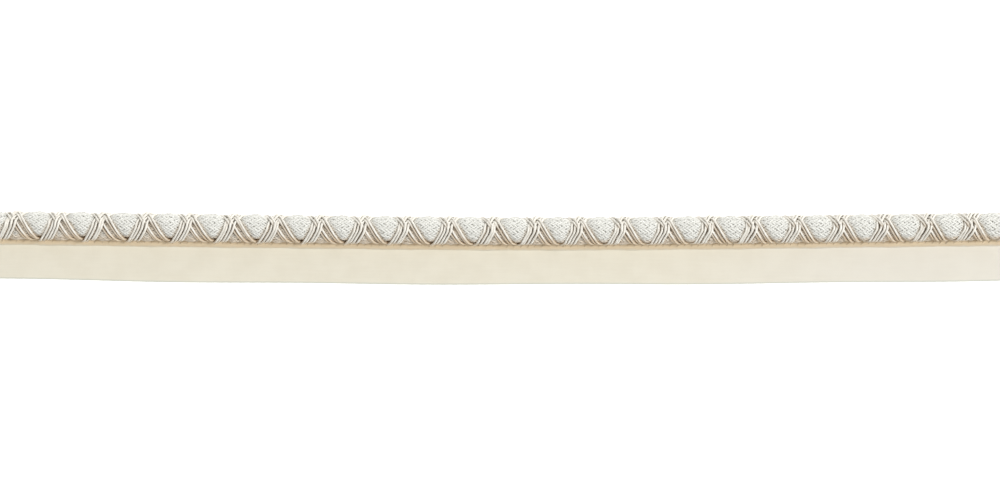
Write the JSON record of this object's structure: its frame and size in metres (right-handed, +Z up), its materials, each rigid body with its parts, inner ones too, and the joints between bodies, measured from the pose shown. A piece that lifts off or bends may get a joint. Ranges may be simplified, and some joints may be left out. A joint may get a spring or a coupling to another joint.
{
  "type": "flanged piping trim",
  "caption": "Straight cut length of flanged upholstery piping: a braided cord wrapped by crossing satin yarns, lying on a flat woven tape that is sewn into a seam.",
  "frame": {"origin": "under the middle of the trim's outline, on the surface that the tape lies on", "axes": "+X along the trim, +Y across it from the tape's free edge to the cord, +Z up"},
  "size_m": [0.336, 0.024, 0.0109],
  "materials": {
    "woven_tape": "matte cream woven cotton",
    "braid": "fine silvery white braid, low sheen",
    "satin_yarn": "glossy ivory satin yarn"
  },
  "bodies": {
    "root": {"flange_tape": "woven_tape", "braided_core": "braid", "wrap_a1": "satin_yarn", "wrap_a2": "satin_yarn", "wrap_b1": "satin_yarn", "wrap_b2": "satin_yarn"}
  },
  "joints": []
}
